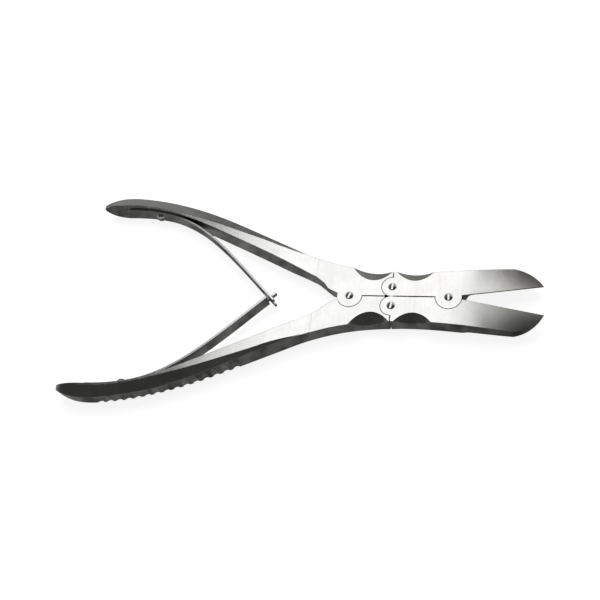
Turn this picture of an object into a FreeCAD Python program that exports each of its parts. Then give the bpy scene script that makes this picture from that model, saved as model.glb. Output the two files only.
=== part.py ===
"""Double-action bone cutting forceps, lying open on a table.

Two handles cross at a rear pivot. Each handle carries a jaw on a link pivot beside the
midline, and the two jaws cross at a front pivot, so that the four pivots form a kite.
Squeezing the handles spreads the link pivots and closes the blades. Two leaf springs hook
into each other between the handles and push them open again.

While the pieces are built, the rear pivot is the origin, +X runs to the blade tips, +Y to
the upper handle and z = 0 is the middle of the thickness. At the end every piece is moved
by the same step, so that the origin lies under the middle of the whole tool.
"""
import FreeCAD, Part
import math
import os
import Sketcher

os.makedirs("parts", exist_ok=True)
doc = FreeCAD.newDocument("bone_cutting_forceps")
V = FreeCAD.Vector
Z = V(0, 0, 1)
MIDLINE = V(0, 1, 0)

SIZES = {
    # joint plates
    "joint_span": (49.0, "rear pivot to front pivot"),
    "link_reach": (21.17, "rear pivot to link pivots, along the tool"),
    "link_offset": (5.32, "link pivots to the midline"),
    "plate_thick": (8.5, "thickness of the joint plates"),
    "lap_gap": (0.1, "between the two halves of a lap joint"),
    "slit": (0.46, "midline gap between the open halves"),
    "horn_slit": (0.42, "gap between handle and jaw outside a link pivot"),
    "rear_boss": (6.3, "radius of the rear bosses"),
    "front_boss": (6.4, "radius of the front bosses"),
    "link_lug": (5.3, "radius of the link lugs"),
    "recess_gap": (0.2, "gap round a boss or lug"),
    "joint_edge": (14.0, "outer edge to the midline, at the link pivots"),
    "flank_behind": (5.04, "rear pivot to a point of the plate's outer edge behind it"),
    "flank_dip": (3.9, "that point inside the shoulder's outer edge"),
    "flank_ahead": (8.47, "rear pivot to a point of the plate's outer edge ahead of it"),
    "flank_rise": (1.0, "that point outside the plate's edge at the link pivots"),
    "crotch_behind": (9.77, "rear pivot to the crotch of the handles"),
    "crotch_side": (3.91, "crotch of the handles to the midline"),
    "jaw_straight": (8.0, "straight outer edge of a jaw ends this far behind the front pivot"),
    "jaw_flare": (12.0, "front pivot to where a jaw is half flared to its corner"),
    "lap_relief": (3.3, "horn cut back beside a link pivot, along the midline"),
    # scooped upper corners beside the link pivots
    "scoop_radius": (17.4, "cutter radius"),
    "scoop_in": (5.1, "depth across the flat face"),
    "scoop_down": (3.1, "depth down the side"),
    "scoop_behind": (9.7, "link pivot to the middle of a handle's scoop"),
    "scoop_ahead": (10.9, "link pivot to the middle of a jaw's scoop"),
    # pivot screws
    "shank_radius": (1.6, "pivot screw shank"),
    "bore_gap": (0.05, "running gap round a shank"),
    "loose_gap": (0.1, "running gap of the upper jaw at the front pivot"),
    "head_radius": (2.1, "pivot screw head"),
    "head_flat": (1.3, "flat top of a pivot screw head"),
    "head_rise": (0.9, "head above the plate"),
    "head_seat": (0.03, "gap under a head"),
    "slot_width": (1.1, "screwdriver slot"),
    "slot_floor": (0.45, "slot floor above the plate"),
    # blades
    "blade_reach": (44.9, "front pivot to blade tip"),
    "jaw_open": (9.8, "degrees that one blade stands open"),
    "face_root": (2.6, "front pivot to where the upper face starts to fall"),
    "under_root": (6.7, "front pivot to where the lower face starts to rise"),
    "under_run": (2.6, "length over which the lower face reaches the cutting edge"),
    "blade_back": (17.2, "blade back to the midline, at its corner"),
    "blade_corner": (31.0, "front pivot to the corner of the back"),
    "tip_bulge": (1.9, "rise of the rounded blade end over its chord"),
    "back_root": (9.0, "front pivot to where the back starts to fall"),
    "back_over": (2.3, "top of the back over the middle of the thickness, at its corner"),
    "back_under": (3.5, "foot of the back under the middle of the thickness, at its corner"),
    "edge_flat": (0.3, "land left on the cutting edge"),
    "edge_rise": (2.15, "top of the cutting edge over the middle of the thickness, at the tip"),
    "edge_gap": (0.03, "each cutting edge to the midline when closed"),
    # handles: distance behind the rear pivot, inner edge to midline, thickness
    "grip_width": (11.4, "handle breadth in the grip"),
    "shoulder_back": (18.0, "station"), "shoulder_inner": (10.5, "inside"), "shoulder_thick": (10.8, "across"),
    "waist_back": (45.0, "station"), "waist_inner": (24.1, "inside"), "waist_thick": (8.9, "across"),
    "middle_back": (72.0, "station"), "middle_inner": (37.0, "inside"), "middle_thick": (8.8, "across"),
    "neck_back": (97.0, "station"), "neck_inner": (47.7, "inside"), "neck_thick": (7.3, "across"),
    "palm_back": (124.0, "station"), "palm_inner": (53.4, "inside"), "palm_thick": (6.9, "across"),
    "heel_back": (140.0, "station"), "heel_inner": (53.9, "inside"), "heel_thick": (5.7, "across"),
    "end_back": (147.0, "station"), "end_inner": (54.5, "inside"), "end_thick": (2.2, "across"),
    "spoon_length": (15.0, "rounded end of the grip"),
    "spoon_lift": (2.2, "outermost point of the rounded end over the middle of the breadth"),
    "flat_trim": (0.06, "ground off the grip's flat faces"),
    "swell_back": (40.0, "full grip breadth from here on"),
    "bevel_back": (97.0, "full grip bevel from here on"),
    "bevel_share": (0.86, "share of the top taken by the grip bevel"),
    "bevel_drop": (2.3, "drop of the grip bevel"),
    # grip grooves
    "groove_first": (55.0, "rear pivot to the first groove"),
    "groove_pitch": (4.85, "groove to groove"),
    "groove_radius": (2.2, "groove cutter"),
    "groove_depth": (0.85, "groove depth at the lower bevel; it fades out at the upper one"),
    # leaf springs
    "leaf_thick": (1.1, "spring leaf"),
    "leaf_width": (7.2, "spring leaf"),
    "leaf_back": (134.0, "rear pivot to the clamped end"),
    "leaf_free": (104.0, "rear pivot to where the leaf leaves the handle"),
    "leaf_meet": (42.0, "rear pivot to the crossing of the leaves"),
    "leaf_past": (4.0, "leaf beyond the crossing"),
    "leaf_slope": (44.0, "degrees of the leaf to the midline at the crossing"),
    "leaf_seat": (0.08, "gap between a leaf and its handle"),
    "tongue_width": (2.2, "narrow end of the lower leaf"),
    "fork_gap": (0.3, "each side of the tongue in the fork"),
    "fork_depth": (6.5, "fork before the crossing"),
    # spring screws
    "stud_back": (112.7, "rear pivot to the spring screws"),
    "stud_radius": (1.3, "spring screw shank"),
    "stud_depth": (4.6, "shank inside the handle"),
    "knob_radius": (2.8, "spring screw head"),
    "knob_flat": (1.5, "flat top of a spring screw head"),
    "knob_rise": (2.5, "spring screw head"),
    "knob_slot": (0.8, "spring screw slot"),
    "knob_floor": (1.5, "spring screw slot floor above the leaf"),
}
GROOVES = 15
# Corners of the web behind a rear boss, and poles of a blade's face behind its root
WEB_CORNERS = ((-1, 1.1), (-2.35, 1.33), (-2.05, 0.98), (-1.8, 0.62), (-0.95, 0.2))
FACE_POLES = (0, 3, 8, 16, 26)
STATIONS = ("shoulder", "waist", "middle", "neck", "palm", "heel", "end")
SLOT_TURNS = {"rear_pivot_screw": 72, "upper_link_screw": 85, "lower_link_screw": 80, "front_pivot_screw": 92}


def fill_sheet():
    """Write every size into the sheet, one row each, under its own alias."""
    page = doc.addObject("Spreadsheet::Sheet", "Sizes")
    for row, (name, (value, note)) in enumerate(SIZES.items(), start=1):
        page.set(f"A{row}", name.replace("_", " "))
        page.set(f"B{row}", str(value))
        page.setAlias(f"B{row}", name)
        page.set(f"C{row}", note)
    doc.recompute()
    return page


sheet = fill_sheet()


def size(name):
    """Value of a size in the sheet, as a plain number."""
    return float(getattr(sheet, name))


def bind(item, **links):
    """Tie properties of an object to sheet formulas; a double underscore stands for a dot."""
    for name, formula in links.items():
        item.setExpression(name.replace("__", "."), formula)
    return item


def formula(text):
    """Put the sheet's name before every size that a formula names."""
    return " ".join(f"Sizes.{word}" if word in SIZES else word for word in text.split())


def value_of(text):
    """Number that a sheet formula gives."""
    return float(sheet.evalExpression(formula(text)))


def drum(name, radius, height, x, y, z):
    """Upright cylinder whose radius, height and place are sheet formulas."""
    item = doc.addObject("Part::Cylinder", name)
    bind(item, Radius=formula(radius), Height=formula(height), Placement__Base__x=formula(x),
         Placement__Base__y=formula(y), Placement__Base__z=formula(z))
    return item


def feature(name, shape):
    """Document object that holds a shape worked out from the sheet."""
    item = doc.addObject("Part::Feature", name)
    item.Shape = shape
    return item


def fuse(name, *items):
    """Union of document objects."""
    item = doc.addObject("Part::MultiFuse", name)
    item.Shapes = list(items)
    item.Refine = True
    return item


def cut(name, base, *tools):
    """Document object left when the tools are taken from the base."""
    item = doc.addObject("Part::Cut", name)
    item.Base = base
    item.Tool = tools[0] if len(tools) == 1 else fuse(name + "_tools", *tools)
    item.Refine = True
    return item


# The two layers of the lap joints, as sheet formulas for the lower face and the height.
HALF = "plate_thick / 2 - lap_gap / 2"
LAYERS = {"top": ("lap_gap / 2", "lap_gap / -2"), "bottom": ("plate_thick / -2", "plate_thick / -2 - 1")}


def layer_drum(name, layer, radius, x, y, clear=False):
    """Boss or lug in one layer, or with clear the pocket that lets it turn in that layer."""
    low = LAYERS[layer][1 if clear else 0]
    height = "plate_thick / 2 + lap_gap / 2 + 1" if clear else HALF
    return drum(name, radius, height, x, y, low)


def prism(points, low, high):
    """Upright block over a closed outline of straight sides."""
    wire = Part.makePolygon([V(x, y, low) for x, y in points] + [V(*points[0], low)])
    return Part.Face(wire).extrude(V(0, 0, high - low))


def edge_prism(edges, low, high):
    """Upright block over a closed outline of lines and curves drawn at z = 0."""
    face = Part.Face(Part.Wire(edges))
    face.translate(V(0, 0, low))
    return face.extrude(V(0, 0, high - low))


def layer_range(layer, clear=False):
    """Lowest and highest z of a layer; with clear it runs past the plate and into the gap."""
    half, gap = size("plate_thick") / 2, size("lap_gap") / 2
    low, high = (-gap, half + 1) if clear else (gap, half)
    return (low, high) if layer == "top" else (-high, -low)


def profile(values):
    """Smooth curve over the distance behind the rear pivot, through one value per station."""
    backs = [size(f"{station}_back") for station in STATIONS]
    curve = Part.BSplineCurve()
    curve.interpolate(Points=[V(-back, value, 0) for back, value in zip(backs, values)], Parameters=backs)
    return curve


INNER = profile([size(f"{station}_inner") for station in STATIONS])
OUTER = profile([size(f"{station}_inner") + size(f"{station}_thick") for station in STATIONS])


def inner_frame(back):
    """Point on the handle's inner edge, its direction to the pivot and its normal to the midline."""
    along = -INNER.tangent(back)[0]
    along.normalize()
    return INNER.value(back), along, V(along.y, -along.x, 0)


def rounding(back):
    """Share of the breadth that the rounded end of the grip leaves."""
    tail = max(back - (size("end_back") + 0.2 - size("spoon_length")), 0) / size("spoon_length")
    return math.sqrt(1 - tail * tail)


def breadth(back):
    """Half the handle's breadth: it swells from the plate to the grip and rounds off at the end."""
    start, full = size("shoulder_back"), size("swell_back")
    step = min(max((back - start) / (full - start), 0), 1)
    swell = step * step * (3 - 2 * step)
    half = (size("plate_thick") + (size("grip_width") - size("plate_thick")) * swell) / 2 + size("flat_trim")
    return half * rounding(back)


def arm_section(back):
    """Outline across the handle: flat inner side, narrow flats, two bevels and an outer wall."""
    inner, outer, half = INNER.value(back).y, OUTER.value(back).y, breadth(back)
    run = (back - size("shoulder_back")) / (size("bevel_back") - size("shoulder_back"))
    share = min(max(run, 0.03), 1)
    crest = outer - size("bevel_share") * share * (outer - inner)
    wall = half - size("bevel_drop") * share * half / (size("grip_width") / 2)
    corners = [(inner, -half), (crest, -half), (outer, -wall), (outer, wall), (crest, half), (inner, half)]
    lift = size("spoon_lift") * (1 - rounding(back))
    return Part.makePolygon([V(-back, y, z + lift) for y, z in corners + corners[:1]])


def arm():
    """Handle from its shoulder to its rounded end, lofted through sections across it."""
    start, end = size("shoulder_back"), size("end_back")
    spoon = end - size("spoon_length")
    backs = [start + (spoon - start) * step / 9 for step in range(10)]
    turns = [math.radians(turn) for turn in (20, 38, 54, 68, 80, 90)]
    backs += [spoon + size("spoon_length") * math.sin(turn) for turn in turns]
    slab = Part.makeBox(end, end, size("grip_width"), V(-end - 5, 0, -size("grip_width") / 2))
    return Part.makeLoft([arm_section(back) for back in backs], True, False).common(slab)


def handle_plate():
    """Full-thickness plate of the handle, from its shoulder to the slit beside the link pivot."""
    shoulder, reach = size("shoulder_back"), size("link_reach") - size("horn_slit") / 2
    gap, edge = size("slit") / 2, size("joint_edge")
    half = size("plate_thick") / 2
    start = OUTER.value(shoulder)
    crotch = V(-size("crotch_behind"), size("crotch_side"), 0)
    inner = INNER.value(shoulder)
    outline = Part.BSplineCurve()
    points = [
        start,
        V(-size("flank_behind"), start.y - size("flank_dip"), 0),
        V(size("flank_ahead"), edge + size("flank_rise"), 0),
        V(reach, edge, 0),
    ]
    leaving, arriving = -OUTER.tangent(shoulder)[0] * 10, V(10, -0.4, 0)
    outline.interpolate(Points=points, InitialTangent=leaving, FinalTangent=arriving)
    corners = [V(reach, edge, 0), V(reach, gap, 0), V(0, gap, 0), crotch, inner, start]
    edges = [outline.toShape()] + [Part.makeLine(a, b) for a, b in zip(corners, corners[1:])]
    return edge_prism(edges, -half, half)


def boss_web(layer):
    """Short web in the boss's layer, from the handle's inner edge to the rear boss."""
    radius = size("rear_boss")
    points = [(x * radius, y * radius) for x, y in WEB_CORNERS] + [(0, size("slit") / 2)]
    return prism(points, *layer_range(layer))


def scoop(prefix, place):
    """Slanted drum that scoops the upper outer corner of a plate."""
    radius, half = size("scoop_radius"), size("plate_thick") / 2
    run, drop = size("scoop_in"), size("scoop_down")
    reach = math.hypot(run, drop)
    along = V(0, run, -drop) / reach
    away = V(0, drop, run) / reach
    base = V(place, size("joint_edge") - run, half) + away * radius - along * radius
    return feature(prefix + "_scoop", Part.makeCylinder(radius, 3 * radius, base, along))


def grooves(prefix):
    """Round grooves across the outer side of the grip, deep below and fading out above."""
    radius, half, depth = size("groove_radius"), size("grip_width") / 2, size("groove_depth")
    wall = half - size("bevel_drop")
    tools = []
    for number in range(GROOVES):
        back = size("groove_first") + number * size("groove_pitch")
        along = OUTER.tangent(back)[0]
        away = V(along.y, -along.x, 0)
        away = away if away.y > 0 else -away
        foot = OUTER.value(back) + away * (radius - depth) - Z * wall
        rise = (Z * 2 * wall + away * depth).normalize()
        tools.append(Part.makeCylinder(radius, 5 * half, foot - rise * 1.5 * half, rise))
    return feature(prefix + "_grooves", Part.makeCompound(tools))


def stud_hole(prefix):
    """Blind hole for the spring screw, square to the handle's inner side."""
    point, along, inward = inner_frame(size("stud_back"))
    radius = size("stud_radius") + size("bore_gap")
    depth = size("stud_depth") + size("bore_gap") * 4
    return feature(prefix + "_stud_hole", Part.makeCylinder(radius, depth + 1, point + inward, -inward))


def relief(prefix, layer, start, end):
    """Block that trims the thin horn between a link lug and the midline."""
    low, high = layer_range(layer, clear=True)
    points = [(start, -1), (end, -1), (end, size("link_offset")), (start, size("link_offset"))]
    return feature(prefix, prism(points, low, high))


def half_turned(name, item, side):
    """The item itself for the upper side, or its mirror image for the lower side."""
    if side == "upper":
        return item
    mirror = doc.addObject("Part::Mirroring", name)
    mirror.Source = item
    mirror.Normal = MIDLINE
    return mirror


def make_handle(side, boss, other):
    """Handle with a rear boss in one layer, a pocket for its partner's boss and a link lug."""
    tag = side + "_handle"
    reach, offset = size("link_reach"), "link_offset"
    solids = [
        feature(tag + "_arm", arm()),
        feature(tag + "_plate", handle_plate()),
        feature(tag + "_web", boss_web(boss)),
        layer_drum(tag + "_boss", boss, "rear_boss", "0", "0"),
        layer_drum(tag + "_lug", "bottom", "link_lug", "link_reach", offset),
    ]
    tools = [
        layer_drum(tag + "_boss_pocket", other, "rear_boss + recess_gap", "0", "0", clear=True),
        layer_drum(tag + "_lug_pocket", "top", "link_lug + recess_gap", "link_reach", offset, clear=True),
        drum(tag + "_rear_bore", "shank_radius + bore_gap", "plate_thick * 2", "0", "0", "plate_thick / -1"),
        drum(tag + "_link_bore", "shank_radius + bore_gap", "plate_thick * 2", "link_reach", offset,
             "plate_thick / -1"),
        relief(tag + "_relief", "top", reach - size("lap_relief"), reach),
        scoop(tag, reach - size("scoop_behind")),
        grooves(tag),
        stud_hole(tag),
    ]
    body = cut(tag + "_body", fuse(tag + "_blank", *solids), *tools)
    return half_turned(tag + "_mirror", body, side)


def cutting_line(distance):
    """Point on the open cutting edge, at a distance along it from the front pivot."""
    turn = math.radians(size("jaw_open"))
    normal = V(-math.sin(turn), math.cos(turn), 0)
    foot = V(size("joint_span"), 0, 0) + normal * size("edge_gap")
    return foot + V(math.cos(turn), math.sin(turn), 0) * distance


def jaw_plan():
    """Outline of a jaw seen from above: plate, straight back, rounded end and cutting edge."""
    span, gap = size("joint_span"), size("slit") / 2
    start = V(size("link_reach") + size("horn_slit") / 2, size("joint_edge"), 0)
    corner = V(span + size("blade_corner"), size("blade_back"), 0)
    tip = cutting_line(size("blade_reach") / math.cos(math.radians(size("jaw_open"))))
    middle = (corner + tip) / 2
    chord = tip - corner
    bulge = middle + V(-chord.y, chord.x, 0).normalize() * size("tip_bulge")
    back = Part.BSplineCurve()
    straight = V(span - size("jaw_straight"), start.y, 0)
    flare = V(span + size("jaw_flare"), (start.y + corner.y) / 2, 0)
    back.interpolate(Points=[start, straight, flare, corner])
    foot = cutting_line(0)
    knee = V(foot.x - 0.5, gap, 0)
    corners = [tip, foot, knee, V(start.x, gap, 0), start]
    edges = [back.toShape(), Part.Arc(corner, bulge, tip).toShape()]
    return edges + [Part.makeLine(a, b) for a, b in zip(corners, corners[1:])]


def fall(start, end, low):
    """Straight fall from the plate's face at one distance to a height at another one."""
    half = size("plate_thick") / 2
    return lambda x: half + (low - half) * (x - start) / (end - start)


def ground(rows):
    """Block over a face ruled between curves, each given by its poles."""
    curves = []
    for row in rows:
        curve = Part.BSplineCurve()
        curve.buildFromPoles(row, False, 3)
        curves.append(curve.toShape())
    faces = [Part.makeRuledSurface(*pair) for pair in zip(curves, curves[1:])]
    blocks = [face.extrude(Z * size("plate_thick")) for face in faces]
    return blocks[0].fuse(blocks[1:]) if len(blocks) > 1 else blocks[0]


def blade_rows(along, edge_heights, back_fall):
    """Poles just outside the cutting edge and beyond the blade's back."""
    half, root = size("plate_thick") / 2, size("back_root")
    heights = [half if x < root + 2 else back_fall(x) for x in along]
    edge = [cutting_line(x) + V(0, -1, height) for x, height in zip(along, edge_heights)]
    back = [V(size("joint_span") + x, size("blade_back") + 1, height) for x, height in zip(along, heights)]
    return [edge, back]


def upper_face():
    """Cutter that grinds the upper face of a blade, from its root to its tip.

    Along the cutting edge the face falls evenly from the plate's face to the edge's height at
    the tip; along the back it falls from further out, and lower.
    """
    root, reach = size("face_root"), size("blade_reach") + 2
    edge_fall = fall(root + FACE_POLES[1], size("blade_reach"), size("edge_rise"))
    back_fall = fall(size("back_root"), size("blade_corner"), size("back_over"))
    along = [root + pole for pole in FACE_POLES] + [reach]
    heights = [size("plate_thick") / 2] + [edge_fall(x) for x in along[1:]]
    edge, back = blade_rows(along, heights, back_fall)
    beside = [V(point.x, -(size("front_boss") + 1), point.z) for point in edge]
    return ground([beside, edge, back])


def lower_face():
    """Cutter that grinds the lower face of a blade, turned over while it is drawn.

    It leaves the plate's lower face beyond the boss, rises to just under the upper face and
    then follows it to the tip, so that a narrow land is left as the cutting edge.
    """
    root, run, reach = size("under_root"), size("under_run"), size("blade_reach") + 2
    half, land = size("plate_thick") / 2, size("edge_flat")
    edge_fall = fall(size("face_root") + FACE_POLES[1], size("blade_reach"), size("edge_rise"))
    back_fall = fall(size("back_root"), size("blade_corner"), size("back_under"))
    along = [root, root + run / 3, root + run, root + 2 * run, root + 4 * run, reach]
    heights = [half, half] + [land - edge_fall(x) for x in along[2:]]
    return ground(blade_rows(along, heights, back_fall)).mirror(V(0, 0, 0), Z)


def blade_faces(prefix):
    """Cutters for the upper and the lower face of a blade."""
    return feature(prefix + "_faces", upper_face().fuse(lower_face()))


def make_jaw(side, boss, other, front_gap):
    """Jaw with a link lug in the top layer, a front boss in one layer and a wedge blade."""
    tag = side + "_jaw"
    reach, offset = size("link_reach"), "link_offset"
    half = size("plate_thick") / 2
    solids = [
        feature(tag + "_plan", edge_prism(jaw_plan(), -half, half)),
        layer_drum(tag + "_boss", boss, "front_boss", "joint_span", "0"),
        layer_drum(tag + "_lug", "top", "link_lug", "link_reach", offset),
    ]
    tools = [
        layer_drum(tag + "_boss_pocket", other, "front_boss + recess_gap", "joint_span", "0", clear=True),
        layer_drum(tag + "_lug_pocket", "bottom", "link_lug + recess_gap", "link_reach", offset, clear=True),
        drum(tag + "_front_bore", "shank_radius + " + front_gap, "plate_thick * 2", "joint_span", "0",
             "plate_thick / -1"),
        drum(tag + "_link_bore", "shank_radius + bore_gap", "plate_thick * 2", "link_reach", offset,
             "plate_thick / -1"),
        relief(tag + "_relief", "bottom", reach, reach + size("lap_relief")),
        scoop(tag, reach + size("scoop_ahead")),
        blade_faces(tag),
    ]
    body = cut(tag + "_body", fuse(tag + "_blank", *solids), *tools)
    return half_turned(tag + "_mirror", body, side)


def leaf_curve():
    """Middle line of a leaf: along the handle, then a free bend to the crossing and past it."""
    offset = size("leaf_thick") / 2 + size("leaf_seat")
    clamped = []
    for step in range(4):
        back = size("leaf_back") + (size("leaf_free") - size("leaf_back")) * step / 3
        point, along, inward = inner_frame(back)
        clamped.append(point + inward * offset)
    start, meet = clamped[-1], V(-size("leaf_meet"), 0, 0)
    turn = math.radians(size("leaf_slope"))
    heading = V(math.cos(turn), -math.sin(turn), 0)
    pull = (meet - start).Length
    bend = Part.BezierCurve()
    bend.setPoles([start, start + along * pull * 0.3, meet - heading * pull * 0.3, meet])
    free = [bend.value(step / 4) for step in range(1, 5)]
    line = Part.BSplineCurve()
    line.interpolate(Points=clamped + free, FinalTangent=heading * 10)
    return line, meet, heading


def leaf_blank():
    """Strip of even thickness along the leaf's middle line, standing on edge."""
    line, meet, heading = leaf_curve()
    half, breadth_half = size("leaf_thick") / 2, size("leaf_width") / 2
    last = line.LastParameter
    sides = []
    for sign in (1, -1):
        points = []
        for step in range(13):
            along = line.tangent(last * step / 12)[0]
            points.append(line.value(last * step / 12) + V(-along.y, along.x, 0) * sign * half)
        curve = Part.BSplineCurve()
        curve.interpolate(Points=points, FinalTangent=heading * 10)
        tail = points[-1] + heading * size("leaf_past")
        sides.append((points[0], curve.toShape(), points[-1], tail))
    (a0, a_edge, a1, a2), (b0, b_edge, b1, b2) = sides
    lines = [Part.makeLine(*ends) for ends in ((a1, a2), (a2, b2), (b2, b1), (b0, a0))]
    edges = [a_edge, b_edge] + lines
    return edge_prism(Part.__sortEdges__(edges), -breadth_half, breadth_half), meet, heading


def end_block(meet, heading, ahead, length, low, high):
    """Block square to the leaf's end, from a distance ahead of the crossing."""
    block = Part.makeBox(length, 6, high - low, V(ahead, -3, low))
    block.rotate(V(0, 0, 0), Z, math.degrees(math.atan2(heading.y, heading.x)))
    block.translate(meet)
    return block


def make_leaf(side, ending):
    """Leaf spring, round at its clamped end, with a tongue or a fork where the leaves cross."""
    tag = side + "_spring"
    blank, meet, heading = leaf_blank()
    width, past = size("leaf_width") / 2, size("leaf_past") + 1
    half_tongue = size("tongue_width") / 2
    if ending == "tongue":
        ahead = -1.5 * size("leaf_thick")
        tools = [end_block(meet, heading, ahead, past + 2, sign, high) for sign, high in
                 ((half_tongue, width + 1), (-width - 1, -half_tongue))]
    else:
        half_slot = half_tongue + size("fork_gap")
        depth = size("fork_depth")
        tools = [end_block(meet, heading, -depth, depth + past, -half_slot, half_slot)]
    tip, along, inward = inner_frame(size("leaf_back"))
    centre = tip + along * width
    corners = Part.makeBox(width + 1, 8, 4 * width, V(-width - 1, -4, -2 * width))
    corners = corners.cut(Part.makeCylinder(width, 8, V(0, -4, 0), V(0, 1, 0)))
    corners.rotate(V(0, 0, 0), Z, math.degrees(math.atan2(along.y, along.x)))
    corners.translate(centre)
    point, along, inward = inner_frame(size("stud_back"))
    bore = Part.makeCylinder(size("stud_radius") + size("bore_gap"), 6, point + inward * 4, -inward)
    shape = blank.cut(tools + [corners, bore])
    return half_turned(tag + "_mirror", feature(tag + "_body", shape), side)


def closed_profile(sketch, corners):
    """Closed outline of straight edges in a sketch, each corner pinned to sheet formulas."""
    points = [V(value_of(x), value_of(y), 0) for x, y in corners]
    count = len(corners)
    for number, point in enumerate(points):
        sketch.addGeometry(Part.LineSegment(point, points[(number + 1) % count]))
    for number, (texts, point) in enumerate(zip(corners, points)):
        sketch.addConstraint(Sketcher.Constraint("Coincident", number, 2, (number + 1) % count, 1))
        for kind, text, value in zip(("DistanceX", "DistanceY"), texts, (point.x, point.y)):
            if text == "0":
                sketch.addConstraint(Sketcher.Constraint("PointOnObject", number, 1, -2))
                continue
            index = sketch.addConstraint(Sketcher.Constraint(kind, -1, 1, number, 1, value))
            sketch.setExpression(f"Constraints[{index}]", formula(text))


def plane(body, role):
    """Origin plane of a body, found by its role."""
    return next(item for item in body.Origin.OriginFeatures if item.Role == role)


def turned_body(name, corners):
    """Body made by turning a closed profile about the vertical axis."""
    body = doc.addObject("PartDesign::Body", name + "_body")
    sketch = body.newObject("Sketcher::SketchObject", name + "_profile")
    sketch.AttachmentSupport = (plane(body, "XZ_Plane"), [""])
    sketch.MapMode = "FlatFace"
    closed_profile(sketch, corners)
    doc.recompute()
    turned = body.newObject("PartDesign::Revolution", name + "_turned")
    turned.Profile = sketch
    turned.ReferenceAxis = (sketch, ["V_Axis"])
    turned.Angle = 360
    doc.recompute()
    return body


def slot(body, name, radius, width, floor):
    """Screwdriver slot across a head, its floor at a given height."""
    box = body.newObject("PartDesign::SubtractiveBox", name + "_slot")
    bind(box, Length=formula(radius) + " * 4", Width=formula(width), Height=formula(radius) + " * 4",
         Placement__Base__x=formula(radius) + " * -2", Placement__Base__y=formula(width) + " / -2",
         Placement__Base__z=formula(floor))
    doc.recompute()
    return box


def make_pivot_screw(name, x, y):
    """Pivot screw with a slotted head over the plates and a peened head under them."""
    face = "plate_thick / 2"
    seat, crown = face + " + head_seat", face + " + head_rise"
    under, foot = f"-1 * ( {seat} )", f"-1 * ( {crown} )"
    corners = [("0", foot), ("head_flat", foot), ("head_radius", under), ("shank_radius", under),
               ("shank_radius", seat), ("head_radius", seat), ("head_flat", crown), ("0", crown)]
    body = turned_body(name, corners)
    slot(body, name, "head_radius", "slot_width", face + " + slot_floor")
    body.Placement = FreeCAD.Placement(V(x, y, 0), FreeCAD.Rotation(Z, SLOT_TURNS[name]))
    return body


def make_spring_screw(side):
    """Screw that clamps a leaf to its handle, with a tall slotted head."""
    name = side + "_spring_screw"
    seat, crown = "leaf_thick + leaf_seat * 2", "leaf_thick + knob_rise"
    corners = [("0", "-1 * stud_depth"), ("stud_radius", "-1 * stud_depth"), ("stud_radius", seat),
               ("knob_radius", seat), ("knob_flat", crown), ("0", crown)]
    body = turned_body(name, corners)
    slot(body, name, "knob_radius", "knob_slot", "leaf_thick + knob_floor")
    point, _, inward = inner_frame(size("stud_back"))
    if side == "lower":
        point, inward = (V(item.x, -item.y, 0) for item in (point, inward))
    body.Placement = FreeCAD.Placement(point, FreeCAD.Rotation(Z.cross(inward), Z, inward, "ZXY"))
    return body


def place_and_export(pieces):
    """Name the pieces, check them, move them to the shared origin and write one file each."""
    doc.recompute()
    bad = [item.Name for item in doc.Objects if {"Invalid", "Error"} & set(item.State)]
    if bad:
        raise RuntimeError(f"objects with errors: {bad}")
    box = FreeCAD.BoundBox()
    for item in pieces.values():
        box.add(item.Shape.optimalBoundingBox(False, False))
    step = V(-box.Center.x, -box.Center.y, -box.ZMin)
    for name, item in pieces.items():
        item.Label = name
        item.Placement = FreeCAD.Placement(step, FreeCAD.Rotation()).multiply(item.Placement)
    doc.recompute()
    for name, item in pieces.items():
        shape = item.Shape
        if shape.isNull() or not shape.isValid() or len(shape.Solids) != 1:
            raise RuntimeError(f"{name}: {len(shape.Solids)} solids, valid {shape.isValid()}")
        shape.Solids[0].exportStep(f"parts/{name}.step")
        print(name, [round(value, 2) for value in (*shape.BoundBox.Center, shape.Volume)])
    print("origin moved by", step)


REACH, OFFSET = size("link_reach"), size("link_offset")
place_and_export({
    "lower_handle": make_handle("lower", "bottom", "top"),
    "upper_handle": make_handle("upper", "top", "bottom"),
    "lower_jaw": make_jaw("lower", "bottom", "top", "bore_gap"),
    "upper_jaw": make_jaw("upper", "top", "bottom", "loose_gap"),
    "lower_spring": make_leaf("lower", "tongue"),
    "upper_spring": make_leaf("upper", "fork"),
    "rear_pivot_screw": make_pivot_screw("rear_pivot_screw", 0, 0),
    "upper_link_screw": make_pivot_screw("upper_link_screw", REACH, OFFSET),
    "lower_link_screw": make_pivot_screw("lower_link_screw", REACH, -OFFSET),
    "front_pivot_screw": make_pivot_screw("front_pivot_screw", size("joint_span"), 0),
    "lower_spring_screw": make_spring_screw("lower"),
    "upper_spring_screw": make_spring_screw("upper"),
})
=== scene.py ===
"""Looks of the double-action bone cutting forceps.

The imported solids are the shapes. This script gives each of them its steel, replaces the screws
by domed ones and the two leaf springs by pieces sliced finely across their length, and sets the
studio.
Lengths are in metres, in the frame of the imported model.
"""
import logging
import math
from dataclasses import dataclass, field
from enum import Enum
from typing import Any

import bmesh
import bpy
import numpy as np
from mathutils import Matrix, Vector


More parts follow.
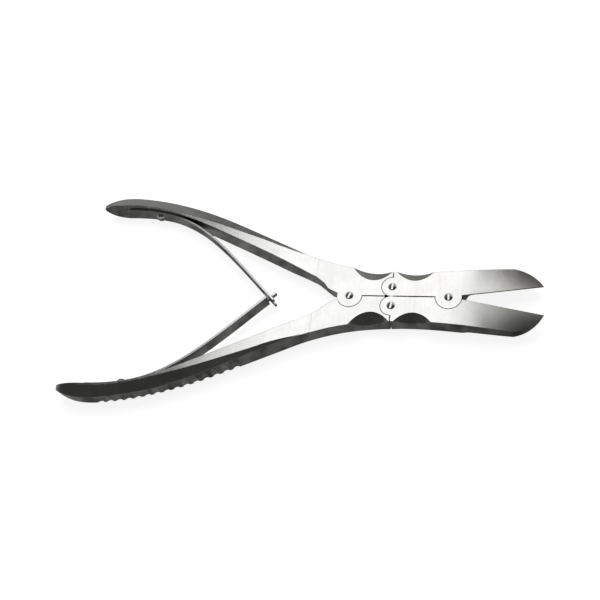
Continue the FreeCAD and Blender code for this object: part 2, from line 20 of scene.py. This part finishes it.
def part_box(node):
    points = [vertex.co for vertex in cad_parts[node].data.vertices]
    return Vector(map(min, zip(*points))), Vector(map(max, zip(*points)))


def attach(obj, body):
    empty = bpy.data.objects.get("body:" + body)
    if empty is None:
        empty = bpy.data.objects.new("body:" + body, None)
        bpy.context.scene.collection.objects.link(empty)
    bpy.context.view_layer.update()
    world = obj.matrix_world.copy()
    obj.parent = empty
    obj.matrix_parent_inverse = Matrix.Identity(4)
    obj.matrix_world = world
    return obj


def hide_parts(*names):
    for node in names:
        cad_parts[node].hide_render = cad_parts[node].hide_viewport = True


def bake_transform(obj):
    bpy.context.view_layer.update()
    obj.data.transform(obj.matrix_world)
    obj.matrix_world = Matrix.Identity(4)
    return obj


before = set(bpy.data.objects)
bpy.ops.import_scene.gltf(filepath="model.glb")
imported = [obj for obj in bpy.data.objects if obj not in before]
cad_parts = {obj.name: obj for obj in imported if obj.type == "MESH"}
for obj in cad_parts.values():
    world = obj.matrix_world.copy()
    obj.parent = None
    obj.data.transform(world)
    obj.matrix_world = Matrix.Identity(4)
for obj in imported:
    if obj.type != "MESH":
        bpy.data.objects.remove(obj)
log = logging.getLogger("scene")
MM = 0.001
WARM_WHITE = (1.0, 1.0, 0.97, 1.0)
# Black that the painted shade of the inner corners goes towards.
PAINTED_CORNER_SHADE = (0.03, 0.03, 0.03, 1.0)


class Slot(Enum):
    """Material slots of the record."""

    SPRING = "spring_steel"
    SCREW = "screw_steel"


class Graph:
    """Short way to fill a node tree."""

    def __init__(self, tree: bpy.types.NodeTree) -> None:
        """Start from an empty tree.

        Args:
            tree: Tree whose nodes are replaced.
        """
        self.tree = tree
        tree.nodes.clear()

    def node(self, kind: str, inputs: dict[str, Any] | None = None, **settings: Any) -> bpy.types.Node:
        """Add a node.

        Args:
            kind: Blender's type name of the node.
            inputs: Values, or sockets to link, by the input's name or number.
            **settings: Properties of the node itself.

        Returns:
            The new node.
        """
        item = self.tree.nodes.new(kind)
        for name, value in settings.items():
            setattr(item, name, value)
        for name, value in (inputs or {}).items():
            if isinstance(value, bpy.types.NodeSocket):
                self.tree.links.new(value, item.inputs[name])
            else:
                item.inputs[name].default_value = value
        return item

    def math(self, operation: str, first: Any, second: Any = 0.0) -> bpy.types.NodeSocket:
        """Add a math node and return its result.

        Args:
            operation: Blender's name of the operation.
            first: First value or socket.
            second: Second value or socket.

        Returns:
            The socket that carries the result.
        """
        return self.node("ShaderNodeMath", {0: first, 1: second}, operation=operation).outputs[0]

    def ramp(self, factor: Any, low: float, high: float, start: float, end: float) -> bpy.types.NodeSocket:
        """Map a value from one range to another, clamped and smooth.

        Args:
            factor: Value or socket to map.
            low: Start of the source range.
            high: End of the source range.
            start: Result at low.
            end: Result at high.

        Returns:
            The socket that carries the result.
        """
        inputs = {"Value": factor, "From Min": low, "From Max": high, "To Min": start, "To Max": end}
        return self.node("ShaderNodeMapRange", inputs, interpolation_type="SMOOTHSTEP").outputs[0]


@dataclass(frozen=True)
class EffectGroup:
    """Node group that several steels share.

    Attributes:
        name: Name of the group.
        inputs: Input sockets, as name, socket type and default.
        outputs: Output sockets, as name and socket type.
    """

    name: str
    inputs: tuple[tuple[str, str, Any], ...]
    outputs: tuple[tuple[str, str], ...]

    def start(self) -> tuple[Graph, bpy.types.Node, bpy.types.NodeTree]:
        """Make the empty group with its sockets.

        Returns:
            The graph, the group's input node and the tree.
        """
        tree = bpy.data.node_groups.new(self.name, "ShaderNodeTree")
        graph = Graph(tree)
        for name, kind, default in self.inputs:
            socket = tree.interface.new_socket(name, in_out="INPUT", socket_type=kind)
            socket.default_value = default
        for name, kind in self.outputs:
            tree.interface.new_socket(name, in_out="OUTPUT", socket_type=kind)
        return graph, graph.node("NodeGroupInput"), tree


def grain_group() -> bpy.types.NodeTree:
    """Brushed grain: fine streaks across the tool, broad bands and a faint mottle.

    Streaks are noise squeezed hard along X and drawn out along Y and Z, so they run across
    the tool as the last polishing strokes do.

    Returns:
        The group's tree.
    """
    effect = EffectGroup(
        "BrushedGrain",
        (("Fineness", "NodeSocketFloat", 1.0), ("Strength", "NodeSocketFloat", 1.0)),
        (("Streak", "NodeSocketFloat"), ("Mottle", "NodeSocketFloat"), ("Height", "NodeSocketFloat")),
    )
    graph, given, tree = effect.start()
    place = graph.node("ShaderNodeTexCoord").outputs["Object"]
    scaled = graph.node("ShaderNodeVectorMath", {0: place, "Scale": given.outputs["Fineness"]},
                        operation="SCALE")
    fine = graph.node("ShaderNodeMapping", {"Vector": scaled.outputs[0], "Scale": (5200.0, 210.0, 330.0)})
    band = graph.node("ShaderNodeMapping", {"Vector": scaled.outputs[0], "Scale": (620.0, 24.0, 30.0)})
    streak = graph.node("ShaderNodeTexNoise", {"Vector": fine.outputs[0], "Scale": 1.0, "Detail": 3.0})
    broad = graph.node("ShaderNodeTexNoise", {"Vector": band.outputs[0], "Scale": 1.0, "Detail": 2.0})
    mottle = graph.node("ShaderNodeTexNoise", {"Vector": place, "Scale": 95.0, "Detail": 5.0,
                                               "Roughness": 0.62})
    both = graph.math("ADD", graph.math("MULTIPLY", streak.outputs["Fac"], 0.55),
                      graph.math("MULTIPLY", broad.outputs["Fac"], 0.45))
    centred = graph.math("MULTIPLY", graph.math("SUBTRACT", both, 0.5), given.outputs["Strength"])
    graph.node("NodeGroupOutput", {"Streak": graph.math("ADD", centred, 0.5), "Mottle": mottle.outputs["Fac"],
                                   "Height": streak.outputs["Fac"]})
    return tree


def edge_and_corner_shade_group() -> bpy.types.NodeTree:
    """Rubbed edges and painted corner shade: a mask of the sharp outer edges, and one of the inner corners
    where shade is painted.

    Corners are where nearby steel hides much of the open side; edges are where there is
    little steel behind the surface. Noise breaks the edge line up, so that its polish isn't
    even.

    Returns:
        The group's tree.
    """
    effect = EffectGroup(
        "RubbedEdgesAndCornerShade",
        (("Breakup", "NodeSocketFloat", 0.35), ("Reach", "NodeSocketFloat", 2.2 * MM)),
        (("Edge", "NodeSocketFloat"), ("CornerShade", "NodeSocketFloat")),
    )
    graph, given, tree = effect.start()
    place = graph.node("ShaderNodeTexCoord").outputs["Object"]
    worn = graph.node("ShaderNodeTexNoise", {"Vector": place, "Scale": 420.0, "Detail": 3.0})
    reach = {"Distance": given.outputs["Reach"]}
    occlusion_shade = graph.node("ShaderNodeAmbientOcclusion", reach, samples=6).outputs["AO"]
    behind = graph.node("ShaderNodeAmbientOcclusion", reach, samples=6, inside=True).outputs["AO"]
    edge = graph.ramp(behind, 0.25, 0.6, 0.0, 1.0)
    kept = graph.math("SUBTRACT", 1.0, graph.math("MULTIPLY", worn.outputs["Fac"], given.outputs["Breakup"]))
    # Painted shade: this mask darkens the colour where nearby steel hides the open side.
    corner_shade_mask = graph.ramp(occlusion_shade, 0.35, 0.95, 1.0, 0.0)
    graph.node("NodeGroupOutput", {"Edge": graph.math("MULTIPLY", edge, kept), "CornerShade": corner_shade_mask})
    return tree


@dataclass(frozen=True)
class SteelFinish:
    """One steel surface of the instrument.

    Attributes:
        name: Name of the material.
        tone: Colour of the metal.
        shade: Colour that the grain goes towards.
        roughness: Middle of the roughness.
        spread: How much the grain changes the roughness.
        grain: Strength of the streaks.
        fineness: Scale of the streaks.
        corner_shade_strength: Painted shade: how far the inner corners go towards black.
        bump: Height of the streaks, in metres.
        bevel: Radius that rounds the edges in the shading, in metres.
        rounding: Agreement of rounded and plain surface at which the rounding is full and is gone.
        fade: Where the polish and the painted tip shade start and end to change along X, or None.
        painted_tip_shade_tone: Painted shade: darker colour of the metal beyond the fade, at the tips.
        end_roughness: Middle of the roughness beyond the fade.
    """

    name: str
    tone: tuple[float, float, float]
    shade: tuple[float, float, float]
    roughness: float
    spread: float = 0.08
    grain: float = 1.0
    fineness: float = 1.0
    corner_shade_strength: float = 0.5
    bump: float = 1.2e-6
    bevel: float = 0.25 * MM
    rounding: tuple[float, float] = (0.93, 0.985)
    fade: tuple[float, float] | None = None
    painted_tip_shade_tone: tuple[float, float, float] = (0.5, 0.49, 0.47)
    end_roughness: float = 0.12

    def faded_polish_and_shade(self, graph: Graph, colour: bpy.types.NodeSocket,
              rough: bpy.types.NodeSocket) -> tuple[bpy.types.NodeSocket, bpy.types.NodeSocket]:
        """Change the roughness along X, as the polish of a blade does, and darken the colour towards the tip
        as painted shade.

        Args:
            graph: Graph of the material.
            colour: Colour before the fade.
            rough: Roughness before the fade.

        Returns:
            Colour and roughness with the fade.
        """
        if self.fade is None:
            return colour, rough
        place = graph.node("ShaderNodeTexCoord").outputs["Object"]
        along = graph.node("ShaderNodeSeparateXYZ", {0: place}).outputs["X"]
        share = graph.ramp(along, *self.fade, 0.0, 1.0)
        # Painted shade: the colour goes darker towards the blade's tip; the roughness change is the polish.
        painted_tip_shade = graph.node("ShaderNodeMix", {0: share, 6: colour, 7: (*self.painted_tip_shade_tone, 1.0)}, data_type="RGBA")
        polish = graph.node("ShaderNodeMix", {0: share, 2: rough, 3: self.end_roughness}, data_type="FLOAT")
        return painted_tip_shade.outputs[2], polish.outputs[0]

    def build(self, grain: bpy.types.NodeTree, edges: bpy.types.NodeTree) -> bpy.types.Material:
        """Make the material.

        Args:
            grain: The brushed grain group.
            edges: The group of rubbed edges and painted corner shade.

        Returns:
            The material.
        """
        material = bpy.data.materials.new(self.name)
        material.use_nodes = True
        graph = Graph(material.node_tree)
        brushed = graph.node("ShaderNodeGroup", node_tree=grain)
        brushed.inputs["Fineness"].default_value = self.fineness
        brushed.inputs["Strength"].default_value = self.grain
        rubbed = graph.node("ShaderNodeGroup", node_tree=edges)
        rubbed.inputs["Breakup"].default_value = 0.35
        streak, mottle = brushed.outputs["Streak"], brushed.outputs["Mottle"]
        dark = graph.math("ADD", graph.ramp(streak, 0.25, 0.75, 0.5, 0.0),
                          graph.ramp(mottle, 0.35, 0.7, 0.25, 0.0))
        metal = graph.node("ShaderNodeMix", {0: dark, 6: (*self.tone, 1.0), 7: (*self.shade, 1.0)},
                           data_type="RGBA")
        # Painted shade: the colour goes towards black in the inner corners.
        occlusion_shade = graph.math("MULTIPLY", rubbed.outputs["CornerShade"], self.corner_shade_strength)
        colour = graph.node("ShaderNodeMix", {0: occlusion_shade, 6: metal.outputs[2], 7: PAINTED_CORNER_SHADE}, data_type="RGBA")
        low, high = self.roughness - self.spread, self.roughness + self.spread
        rough = graph.math("ADD", graph.ramp(streak, 0.25, 0.75, low, high),
                           graph.ramp(mottle, 0.3, 0.7, -0.02, 0.03))
        rough = graph.math("SUBTRACT", rough, graph.math("MULTIPLY", rubbed.outputs["Edge"], 0.05))
        shaded_colour, rough = self.faded_polish_and_shade(graph, colour.outputs[2], rough)
        rounded = graph.node("ShaderNodeBevel", {"Radius": self.bevel}, samples=8).outputs[0]
        plain = graph.node("ShaderNodeNewGeometry").outputs["Normal"]
        turned = graph.node("ShaderNodeVectorMath", {0: rounded, 1: plain}, operation="DOT_PRODUCT")
        share = graph.ramp(turned.outputs["Value"], *self.rounding, 1.0, 0.0)
        crisp = graph.node("ShaderNodeMix", {0: share, 4: plain, 5: rounded}, data_type="VECTOR")
        bump = graph.node("ShaderNodeBump", {"Strength": 0.6, "Distance": self.bump,
                                             "Height": brushed.outputs["Height"], "Normal": crisp.outputs[1]})
        shader = graph.node("ShaderNodeBsdfPrincipled", {"Base Color": shaded_colour, "Metallic": 1.0,
                                                         "Roughness": rough, "Normal": bump.outputs[0]})
        graph.node("ShaderNodeOutputMaterial", {"Surface": shader.outputs[0]})
        return material


class Workshop:
    """Makes each finish once and puts it on objects."""

    FINISHES = {
        "handle": SteelFinish("HandleSteel", (0.8, 0.8, 0.79), (0.42, 0.42, 0.41), 0.25, spread=0.03,
                              grain=0.35, bevel=0.35 * MM),
        # The jaws' darker colour towards their tips is painted shade, darkest on the lower jaw.
        "upper_jaw": SteelFinish("UpperJawSteel", (0.8, 0.8, 0.79), (0.45, 0.44, 0.42), 0.26, spread=0.04,
                                 grain=0.45, fineness=0.8, bevel=0.35 * MM, fade=(0.09, 0.122),
                                 painted_tip_shade_tone=(0.34, 0.325, 0.3), end_roughness=0.16),
        "lower_jaw": SteelFinish("LowerJawSteel", (0.8, 0.8, 0.79), (0.45, 0.445, 0.43), 0.26, spread=0.04,
                                 grain=0.45, fineness=0.8, bevel=0.35 * MM, fade=(0.068, 0.113),
                                 painted_tip_shade_tone=(0.22, 0.22, 0.21), end_roughness=0.16),
        "leaf": SteelFinish("LeafSteel", (0.8, 0.8, 0.8), (0.55, 0.55, 0.55), 0.3, grain=0.3, bevel=0.4 * MM),
        "knob": SteelFinish("KnobSteel", (0.88, 0.88, 0.87), (0.5, 0.5, 0.5), 0.16, fineness=2.0,
                            bevel=0.1 * MM),
        "screw": SteelFinish("ScrewSteel", (0.74, 0.74, 0.73), (0.5, 0.5, 0.5), 0.2, fineness=2.0,
                             bevel=0.1 * MM),
    }

    def __init__(self) -> None:
        """Make the shared groups and the materials."""
        grain, edges = grain_group(), edge_and_corner_shade_group()
        self.materials = {name: finish.build(grain, edges) for name, finish in self.FINISHES.items()}

    def dress(self, item: bpy.types.Object, finish: str) -> None:
        """Give an object one finish.

        Args:
            item: Object to dress.
            finish: Name of the finish.
        """
        item.data.materials.clear()
        item.data.materials.append(self.materials[finish])
        log.info("%s has finish %s", item.name, finish)


@dataclass
class Lever:
    """One forged half: a handle or a jaw.

    Attributes:
        node: CAD node of the forging.
        finish: Finish of the forging.
    """

    node: str
    finish: str

    def build(self, shop: Workshop) -> None:
        """Dress the forging.

        Args:
            shop: Maker of the finishes.
        """
        shop.dress(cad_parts[self.node], self.finish)


@dataclass
class ScrewHead:
    """Domed, slotted head that stands for a plain CAD screw.

    Attributes:
        node: CAD node that the piece replaces.
        body: Body that the screw rides on.
        centre: Middle of the head's seat.
        axis: Direction out of the head.
        slot_turn: Direction of the slot, in degrees round the axis.
        radius: Radius of the head.
        rise: Height of the dome.
        slot_width: Width of the slot.
        slot_depth: Depth of the slot under the crown.
        length: Length of the shank.
        shank: Radius of the shank.
        foot: Height of the peened dome at the other end, or 0 for a plain end.
        finish: Finish of the screw.
        slot_wall: Width of the slot's sloping walls.
        rings: Rings of the crown.
        spokes: Points round each ring.
    """

    node: str
    body: str
    centre: tuple[float, float, float]
    axis: tuple[float, float, float] = (0.0, 0.0, 1.0)
    slot_turn: float = 90.0
    radius: float = 2.08 * MM
    rise: float = 0.86 * MM
    slot_width: float = 1.0 * MM
    slot_depth: float = 0.5 * MM
    length: float = 8.56 * MM
    shank: float = 1.58 * MM
    foot: float = 0.86 * MM
    finish: str = "screw"
    slot_wall: float = 0.1 * MM
    rings: int = 56
    spokes: int = 128

    def profile(self) -> np.ndarray:
        """Outline of the screw as radius and height, from the crown to the foot.

        The crown is part of a circle through the rim and the top; its rim rolls under into
        the seat, the shank runs straight down and the foot is the same dome upside down.

        Returns:
            One row of radius and height per ring.
        """
        turn = np.linspace(0.0, 1.0, self.rings)
        arc = (self.radius**2 + self.rise**2) / (2 * self.rise)
        reach = self.radius * np.sin(turn * math.pi / 2)
        crown = np.sqrt(arc**2 - reach**2) - arc + self.rise
        crown[-1] = 0.0
        rows = [np.column_stack((reach, crown)), [(self.shank, 0.0), (self.shank, -self.length)]]
        if self.foot:
            dome = crown[::-1][::3] * self.foot / self.rise
            rows.append(np.column_stack((reach[::-1][::3], -self.length - dome)))
        rows.append([(0.0, -self.length - self.foot)])
        return np.vstack(rows)

    def surface(self) -> tuple[np.ndarray, np.ndarray]:
        """Turn the outline about the axis and press the slot into the crown.

        A point of the crown nearer to the slot's middle line than half its width goes down to
        the slot's floor, and the walls slope up beside it.

        Returns:
            Vertices and faces of four corners.
        """
        outline = self.profile()
        angle = np.linspace(0.0, 2 * math.pi, self.spokes, endpoint=False)
        x = outline[:, :1] * np.cos(angle)
        y = outline[:, :1] * np.sin(angle)
        z = np.repeat(outline[:, 1:], self.spokes, axis=1)
        wall = np.clip((np.abs(y) - self.slot_width / 2) / self.slot_wall, 0.0, 1.0)
        floor = self.rise - self.slot_depth
        top = (np.arange(len(outline)) < self.rings)[:, None] & (z > floor)
        z = np.where(top, floor + (z - floor) * wall, z)
        ring = np.arange(len(outline) - 1)[:, None] * self.spokes
        here = np.arange(self.spokes)[None, :]
        after = (here + 1) % self.spokes
        below = ring + self.spokes
        faces = np.stack((ring + here, below + here, below + after, ring + after), axis=-1)
        return np.stack((x, y, z), axis=-1).reshape(-1, 3), faces.reshape(-1, 4)

    def build(self, shop: Workshop) -> bpy.types.Object:
        """Make the screw where its CAD node is.

        Args:
            shop: Maker of the finishes.

        Returns:
            The screw.
        """
        vertices, faces = self.surface()
        out = Vector(self.axis).normalized()
        lift = out.to_track_quat("Z", "Y") if abs(out.z) < 0.99 else Matrix.Identity(3).to_quaternion()
        turn = (lift @ Matrix.Rotation(math.radians(self.slot_turn), 3, "Z").to_quaternion()).to_matrix()
        placed = vertices @ np.array(turn).T + np.array(self.centre)
        mesh = bpy.data.meshes.new(self.node + ".screw")
        mesh.from_pydata(placed.tolist(), [], faces.tolist())
        mesh.validate()
        mesh.shade_smooth()
        mesh.set_sharp_from_angle(angle=math.radians(40))
        screw = bpy.data.objects.new(self.node + ".screw", mesh)
        bpy.context.scene.collection.objects.link(screw)
        shop.dress(screw, self.finish)
        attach(screw, self.body)
        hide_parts(self.node)
        return screw


@dataclass
class LeafSpring:
    """A leaf spring between its handle and its hooked end, sliced finely across its length.

    Attributes:
        node: CAD node that the piece replaces.
        handle: Body of the clamped end, only named in the log.
        body: Body of the hooked end, only named in the log.
        side: 1 for the upper leaf, -1 for the lower one; not used.
        clamped: Where the bend starts, as distances along X and from the midline; not used.
        hooked: Where the bend ends, in the same way; not used.
        slices: Number of cuts across the leaf.
    """

    node: str
    handle: str
    body: str
    side: int
    clamped: tuple[float, float] = (-0.080, 0.0485)
    hooked: tuple[float, float] = (-0.0345, 0.016)
    slices: int = 60

    def build(self, shop: Workshop) -> bpy.types.Object:
        """Make the leaf from its solid, sliced finely across its length.

        Args:
            shop: Maker of the finishes.

        Returns:
            The new leaf.
        """
        mesh = bpy.data.meshes.new(self.node + ".leaf")
        shape = bmesh.new()
        shape.from_mesh(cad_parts[self.node].data)
        bmesh.ops.remove_doubles(shape, verts=shape.verts, dist=1e-6)
        low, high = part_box(self.node)
        for place in np.linspace(low.x, high.x, self.slices + 2)[1:-1]:
            everything = [*shape.verts, *shape.edges, *shape.faces]
            bmesh.ops.bisect_plane(shape, geom=everything, plane_co=(place, 0, 0), plane_no=(1, 0, 0))
        shape.to_mesh(mesh)
        shape.free()
        if "custom_normal" in mesh.attributes:
            mesh.attributes.remove(mesh.attributes["custom_normal"])
        normals = np.empty(len(mesh.polygons) * 3)
        mesh.polygons.foreach_get("normal", normals)
        mesh.polygons.foreach_set("use_smooth", np.abs(normals[2::3]) < 0.9)
        mesh.set_sharp_from_angle(angle=math.radians(35))
        leaf = bpy.data.objects.new(self.node + ".leaf", mesh)
        bpy.context.scene.collection.objects.link(leaf)
        shop.dress(leaf, "leaf")
        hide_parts(self.node)
        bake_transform(leaf)
        log.info("leaf %s bends from %s to %s", self.node, self.handle, self.body)
        return leaf


@dataclass
class Studio:
    """Pale floor, soft lights and the camera.

    Attributes:
        aim: Point that the camera looks at.
        distance: Camera to that point.
        tilt: Angle of the view from straight down, in degrees.
        heading: Turn of the view from -Y towards +X, in degrees.
        roll: Turn of the picture, in degrees.
        lens: Focal length over a 36 mm sensor.
        panel: Width, length and height of the overhead panel.
        panel_middle: Where the middle of the panel hangs.
        panel_level: Brightness of the panel.
        spark: Place of the small lamp that only the steel mirrors.
        spark_side: Side of that lamp.
        side_level: Brightness that level views of the steel mirror.
        low_gain: How much more the side glow shows at low angles.
        far_share: Share of the side glow on the side away from the camera.
        near_share: Share of the side glow straight towards the camera's side.
        patches: Fineness of the side glow's patches.
        grazing: Slants between which the low gain ends.
        away: Slants between which the far side's share ends.
        towards: Slants between which the near side's share starts.
        room: Brightness of the room behind the lamps.
        horizon: Brightness of the room low down.
        skyline: Heights between which the horizon fades into the room.
        walls: Brightness of the walls beyond the two ends of the tool, behind it.
        wall_middle: Middle between the walls along X.
        wall_start: Distances from that middle between which a wall starts.
        wall_top: Heights between which the walls end.
        wall_depth: Distances behind the tool between which the walls start.
        floor_glow: Brightness that the camera adds to the floor.
    """

    aim: tuple[float, float, float] = (0.00155, -0.0031, 0.00995)
    distance: float = 0.45
    tilt: float = 31.47
    heading: float = 27.0
    roll: float = -22.48
    lens: float = 53.478
    panel: tuple[float, float, float] = (0.5, 0.9, 0.7)
    panel_middle: tuple[float, float] = (-0.07, 0.57)
    panel_level: float = 1.5
    spark: tuple[float, float, float] = (-0.25, -0.64, 0.36)
    spark_side: float = 0.14
    side_level: float = 0.125
    low_gain: float = 3.5
    far_share: float = 0.4
    near_share: float = 0.65
    patches: float = 110.0
    grazing: tuple[float, float] = (0.3, 0.45)
    away: tuple[float, float] = (-0.5, 0.0)
    towards: tuple[float, float] = (0.15, 0.5)
    room: float = 0.04
    horizon: float = 0.3
    skyline: tuple[float, float] = (0.2, 0.5)
    walls: float = 0.45
    wall_middle: float = -0.3
    wall_start: tuple[float, float] = (0.4, 0.6)
    wall_top: tuple[float, float] = (0.7, 0.8)
    wall_depth: tuple[float, float] = (0.35, 0.6)
    floor_glow: float = 0.85

    def axes(self) -> tuple[Vector, Vector, Vector]:
        """Camera's right, up and backward directions.

        Returns:
            The three directions.
        """
        tilt, heading, roll = (math.radians(angle) for angle in (self.tilt, self.heading, self.roll))
        back = Vector((math.sin(tilt) * math.sin(heading), -math.sin(tilt) * math.cos(heading),
                       math.cos(tilt)))
        level = Vector((math.cos(heading), math.sin(heading), 0.0))
        rise = back.cross(level)
        right = level * math.cos(roll) + rise * math.sin(roll)
        return right, back.cross(right), back

    def camera(self) -> None:
        """Make the camera at the photograph's view."""
        right, rise, back = self.axes()
        data = bpy.data.cameras.new("camera")
        data.sensor_width = 36.0
        data.lens = self.lens
        data.clip_start = 0.01
        camera = bpy.data.objects.new("camera", data)
        place = Vector(self.aim) + back * self.distance
        turn = Matrix((right, rise, back)).transposed().to_4x4()
        camera.matrix_world = Matrix.Translation(place) @ turn
        bpy.context.scene.collection.objects.link(camera)
        bpy.context.scene.camera = camera

    @staticmethod
    def softbox(name: str, place: tuple[float, float, float], size: tuple[float, float], power: float,
                target: tuple[float, float, float] = (0.0, 0.0, 0.0)) -> bpy.types.Object:
        """Make a rectangular lamp that faces a point.

        Args:
            name: Name of the lamp.
            place: Where it hangs.
            size: Its width and height.
            power: Its power in watts.
            target: Point that it faces.

        Returns:
            The lamp.
        """
        data = bpy.data.lights.new(name, "AREA")
        data.shape = "RECTANGLE"
        data.size, data.size_y = size
        data.energy = power
        lamp = bpy.data.objects.new(name, data)
        lamp.location = place
        lamp.rotation_euler = (Vector(target) - Vector(place)).to_track_quat("-Z", "Y").to_euler()
        bpy.context.scene.collection.objects.link(lamp)
        return lamp

    @staticmethod
    def sheet(name: str, half: float, height: float) -> bpy.types.Object:
        """Make a level square sheet round the origin.

        Args:
            name: Name of the sheet.
            half: Half its side.
            height: Its height.

        Returns:
            The sheet.
        """
        corners = np.array([(-1, -1), (1, -1), (1, 1), (-1, 1)], float) * half
        mesh = bpy.data.meshes.new(name)
        mesh.from_pydata([(x, y, height) for x, y in corners.tolist()], [], [(0, 1, 2, 3)])
        item = bpy.data.objects.new(name, mesh)
        bpy.context.scene.collection.objects.link(item)
        return item

    def glow_sheet(self, name: str, height: float, level: float) -> bpy.types.Object:
        """Make a level sheet with a patchy glow, stronger at low angles, that only steel mirrors.

        Args:
            name: Name of the sheet.
            height: Its height.
            level: Middle brightness of its glow.

        Returns:
            The sheet.
        """
        card = self.sheet(name, 2.9, height)
        material = bpy.data.materials.new(name)
        material.use_nodes = True
        graph = Graph(material.node_tree)
        place = graph.node("ShaderNodeNewGeometry").outputs["Position"]
        patchy = graph.node("ShaderNodeTexNoise", {"Vector": place, "Scale": self.patches, "Detail": 2.0})
        strength = graph.ramp(patchy.outputs["Fac"], 0.3, 0.7, 0.55 * level, 1.6 * level)
        incoming = graph.node("ShaderNodeNewGeometry").outputs["Incoming"]
        slant = graph.node("ShaderNodeSeparateXYZ", {0: incoming})
        for share in (graph.ramp(slant.outputs["Z"], *self.grazing, self.low_gain, 1.0),
                      graph.ramp(slant.outputs["Y"], *self.away, self.far_share, 1.0),
                      graph.ramp(slant.outputs["Y"], *self.towards, 1.0, self.near_share)):
            strength = graph.math("MULTIPLY", strength, share)
        glow = graph.node("ShaderNodeEmission", {"Color": WARM_WHITE, "Strength": strength})
        graph.node("ShaderNodeOutputMaterial", {"Surface": glow.outputs[0]})
        card.data.materials.append(material)
        card.visible_camera = False
        card.visible_diffuse = False
        card.visible_shadow = False
        card.visible_transmission = False
        return card

    def floor(self) -> None:
        """Make the pale floor, which takes the soft shadow and which mirrors don't see."""
        floor = self.sheet("floor", 3.0, -0.0001)
        material = bpy.data.materials.new("PaleFloor")
        material.use_nodes = True
        graph = Graph(material.node_tree)
        path = graph.node("ShaderNodeLightPath")
        seen = graph.math("MAXIMUM", path.outputs["Is Camera Ray"], path.outputs["Is Glossy Ray"])
        seen = graph.math("MAXIMUM", seen, path.outputs["Is Transmission Ray"])
        matt = graph.node("ShaderNodeBsdfDiffuse", {"Color": (0.8, 0.8, 0.8, 1.0)})
        level = graph.math("MULTIPLY", seen, self.floor_glow)
        glow = graph.node("ShaderNodeEmission", {"Color": (1.0, 1.0, 1.0, 1.0), "Strength": level})
        both = graph.node("ShaderNodeAddShader", {0: matt.outputs[0], 1: glow.outputs[0]})
        graph.node("ShaderNodeOutputMaterial", {"Surface": both.outputs[0]})
        floor.data.materials.append(material)
        floor.visible_glossy = False

    def world(self) -> None:
        """Make the surroundings: white to the camera, a dark room to everything else."""
        world = bpy.data.worlds.new("surroundings")
        world.use_nodes = True
        bpy.context.scene.world = world
        graph = Graph(world.node_tree)
        path = graph.node("ShaderNodeLightPath")
        direction = graph.node("ShaderNodeTexCoord").outputs["Generated"]
        height = graph.node("ShaderNodeSeparateXYZ", {0: direction})
        level = graph.ramp(height.outputs["Z"], *self.skyline, self.horizon, self.room)
        aside = graph.math("ABSOLUTE", graph.math("SUBTRACT", height.outputs["X"], self.wall_middle))
        low = graph.math("MULTIPLY", graph.ramp(height.outputs["Z"], *self.wall_top, self.walls, 0.0),
                         graph.ramp(height.outputs["Y"], *self.wall_depth, 0.0, 1.0))
        wall = graph.math("MULTIPLY", graph.ramp(aside, *self.wall_start, 0.0, 1.0), low)
        level = graph.math("ADD", level, wall)
        dim = graph.node("ShaderNodeBackground", {"Color": WARM_WHITE, "Strength": level})
        white = graph.node("ShaderNodeBackground", {"Color": (1.0, 1.0, 1.0, 1.0), "Strength": 1.0})
        seen = {0: path.outputs["Is Camera Ray"], 1: dim.outputs[0], 2: white.outputs[0]}
        both = graph.node("ShaderNodeMixShader", seen)
        graph.node("ShaderNodeOutputWorld", {"Surface": both.outputs[0]})

    def build(self) -> None:
        """Set up the whole studio."""
        self.world()
        self.floor()
        self.glow_sheet("floor_mirror", -0.0002, self.side_level)
        width, length, height = self.panel
        area = math.pi * width * length
        self.softbox("overhead", (*self.panel_middle, height), (width, length), self.panel_level * area,
                     (*self.panel_middle, 0.0))
        spark = self.softbox("spark", self.spark, (self.spark_side, self.spark_side),
                             self.panel_level * math.pi * self.spark_side**2)
        spark.visible_diffuse = False
        self.camera()
        bpy.context.scene.view_settings.view_transform = "Standard"


@dataclass
class Forceps:
    """The whole instrument.

    Attributes:
        levers: Handles and jaws.
        screws: Pivot screws and spring screws.
        leaves: Leaf springs.
    """

    levers: list[Lever] = field(default_factory=lambda: [
        Lever("lower_handle", "handle"),
        Lever("upper_handle", "handle"),
        Lever("lower_jaw", "lower_jaw"),
        Lever("upper_jaw", "upper_jaw"),
    ])
    screws: list[ScrewHead] = field(default_factory=lambda: [
        ScrewHead("rear_pivot_screw", "lower_handle", (0.02655, 0.0, 0.00998), slot_turn=72.0),
        ScrewHead("upper_link_screw", "upper_handle", (0.04772, 0.00532, 0.00998), slot_turn=85.0),
        ScrewHead("lower_link_screw", "lower_handle", (0.04772, -0.00532, 0.00998), slot_turn=80.0),
        ScrewHead("front_pivot_screw", "lower_jaw", (0.07555, 0.0, 0.00998), slot_turn=92.0),
        *(ScrewHead(name + "_spring_screw", name + "_handle", (-0.08638, side * 0.05073, 0.0057),
                    (-0.187, -side * 0.9824, 0.0), 0.0, 2.78 * MM, 2.3 * MM, 0.8 * MM, 1.1 * MM,
                    5.8 * MM, 1.28 * MM, 0.0, "knob") for name, side in (("upper", 1), ("lower", -1))),
    ])
    leaves: list[LeafSpring] = field(default_factory=lambda: [
        LeafSpring("upper_spring", "upper_handle", "upper_spring", 1),
        LeafSpring("lower_spring", "lower_handle", "lower_spring", -1),
    ])

    def build(self) -> None:
        """Dress and make every piece."""
        shop = Workshop()
        for part in (*self.levers, *self.screws, *self.leaves):
            part.build(shop)


def main() -> None:
    logging.basicConfig(level=logging.INFO, format="%(name)s: %(message)s")
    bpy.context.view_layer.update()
    Forceps().build()
    Studio().build()


if __name__ == "__main__":
    main()
